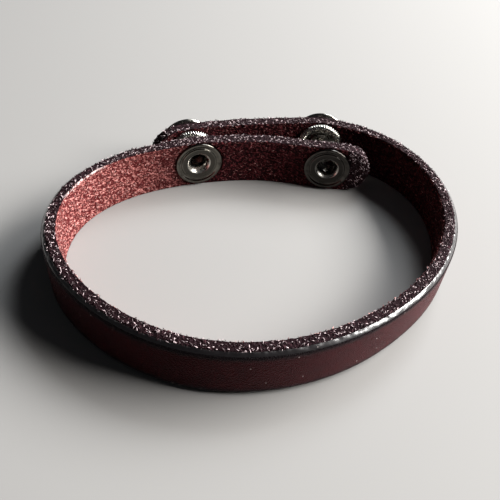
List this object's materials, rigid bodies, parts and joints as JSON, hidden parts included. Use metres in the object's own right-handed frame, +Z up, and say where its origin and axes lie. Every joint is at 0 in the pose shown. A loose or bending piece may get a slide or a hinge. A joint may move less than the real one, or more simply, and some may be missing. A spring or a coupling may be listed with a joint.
{
  "type": "leather cuff bracelet",
  "caption": "Narrow leather strap bracelet standing on edge as an open loop, its ends lapped at the back with a closed snap and an undone snap.",
  "frame": {"origin": "middle of the bracelet's box, on the surface that it stands on", "axes": "+X to the right across the loop seen from the plain front, +Y towards the lapped ends at the back, +Z up across the strap's width"},
  "size_m": [0.071, 0.065, 0.0102],
  "materials": {
    "strap_leather": "satin grain outside, rough suede inside, raw cut edges",
    "snap_metal": "nickel plate, polished rims and duller dished faces"
  },
  "bodies": {
    "root": {"strap": "strap_leather", "closed_snap_cap": "snap_metal", "closed_snap_socket": "snap_metal", "closed_snap_stud": "snap_metal", "closed_snap_eyelet": "snap_metal", "open_snap_cap": "snap_metal", "open_snap_socket": "snap_metal", "open_snap_stud": "snap_metal", "open_snap_eyelet": "snap_metal"}
  },
  "joints": []
}
